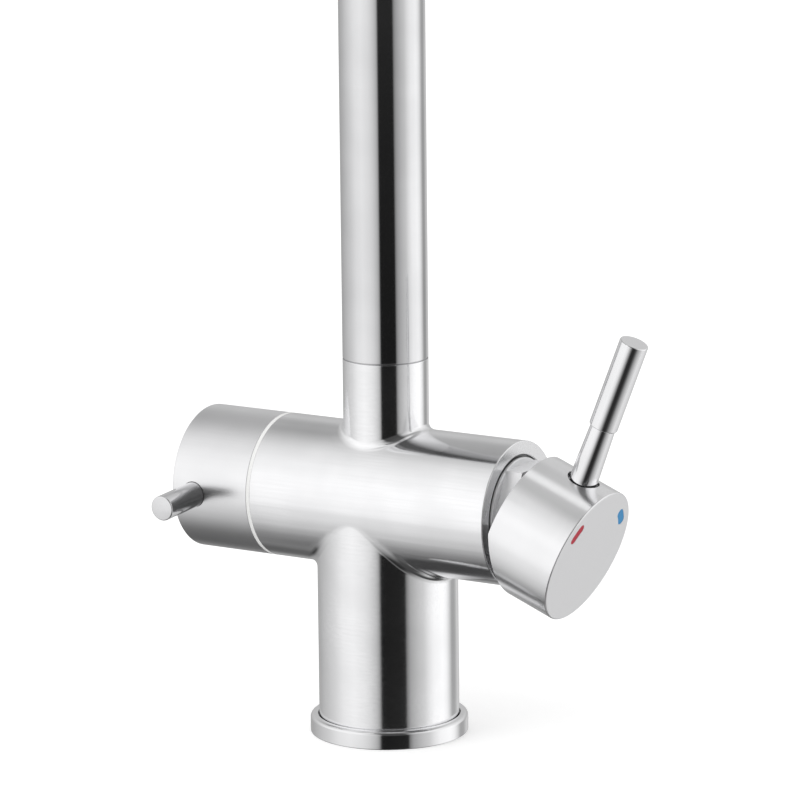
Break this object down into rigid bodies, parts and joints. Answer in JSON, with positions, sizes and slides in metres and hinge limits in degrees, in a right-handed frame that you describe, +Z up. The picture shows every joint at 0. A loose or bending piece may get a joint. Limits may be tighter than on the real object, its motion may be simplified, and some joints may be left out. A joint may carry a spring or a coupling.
{
  "type": "drinking water filter tap",
  "caption": "Steel kitchen tap with a side mixer lever, a second lever for filtered water and a swivelling L-shaped spout.",
  "frame": {"origin": "middle of the base ring's underside, on the worktop and on the axis of the column", "axes": "+Z up the column, -Y towards the user and along the spout, +X towards the mixer handle"},
  "size_m": [0.165, 0.242, 0.32],
  "materials": {
    "satin_steel": "satin",
    "polished_steel": "polished",
    "plain_steel": "plain",
    "brass": "machined",
    "copper_pipe": "drawn tube",
    "rubber": "matte",
    "ceramic": "lapped",
    "white_plastic": "moulded",
    "grey_plastic": "moulded",
    "red_plastic": "inlay",
    "blue_plastic": "inlay",
    "hose_plastic": "drawn tube"
  },
  "bodies": {
    "tap_body": {"base_seal": "rubber", "base_ring": "polished_steel", "base_insert": "brass", "mixer_body": "satin_steel", "water_core": "brass", "hot_pipe": "copper_pipe", "cold_pipe": "copper_pipe", "filtered_pipe": "copper_pipe", "valve_seal": "rubber", "valve_disc_fixed": "ceramic", "valve_body": "brass", "friction_washer": "white_plastic", "port_seals": "rubber", "cartridge_base": "grey_plastic", "ceramic_disc_fixed": "ceramic", "cartridge_body": "grey_plastic", "cartridge_nut": "polished_steel", "hose_nipple": "brass", "swivel_washer": "grey_plastic", "spout_screw": "plain_steel"},
    "filter_control": {"filter_knob": "satin_steel", "filter_lever": "polished_steel", "valve_spindle": "brass", "spindle_clip": "plain_steel", "valve_disc_moving": "ceramic"},
    "mixer_rotor": {"cartridge_rotor": "grey_plastic", "stem_pin": "plain_steel"},
    "mixer_disc": {"ceramic_disc_moving": "ceramic", "disc_carrier": "grey_plastic"},
    "mixer_handle": {"handle_cap": "satin_steel", "lever_stem": "polished_steel", "lever_grip": "polished_steel", "hot_mark": "red_plastic", "cold_mark": "blue_plastic", "cartridge_stem": "plain_steel"},
    "spout": {"spout_tube": "polished_steel", "spout_end_cap": "polished_steel", "outlet_collar": "polished_steel", "aerator_seal": "rubber", "aerator_shell": "polished_steel", "aerator_insert": "white_plastic", "filtered_nozzle": "white_plastic", "filtered_hose": "hose_plastic", "hose_plug": "brass", "spout_spigot": "brass", "spigot_seals": "rubber"}
  },
  "joints": [
    {"name": "filter_turn", "type": "hinge", "parent": "tap_body", "child": "filter_control", "pos_m": [-0.0605, 0, 0.0787], "axis": [-1, 0, 0], "range_deg": [0, 90]},
    {"name": "mixer_turn", "type": "hinge", "parent": "tap_body", "child": "mixer_rotor", "pos_m": [0.0468, 0, 0.0787], "axis": [1, 0, 0], "range_deg": [-50, 50]},
    {"name": "mixer_tilt", "type": "hinge", "parent": "mixer_rotor", "child": "mixer_handle", "pos_m": [0.0468, 0, 0.0787], "axis": [0, 1, 0], "range_deg": [-21.7, 3]},
    {"name": "disc_slide", "type": "slide", "parent": "mixer_rotor", "child": "mixer_disc", "axis": [0, 0, 1], "range_m": [-0.0034, 0.0005]},
    {"name": "spout_swivel", "type": "hinge", "parent": "tap_body", "child": "spout", "pos_m": [0, 0, 0.125], "axis": [0, 0, 1], "range_deg": [-70, 70]}
  ],
  "couplings": [
    {"joint": "disc_slide", "follows": "mixer_tilt", "m_per_rad": 0.0088}
  ]
}
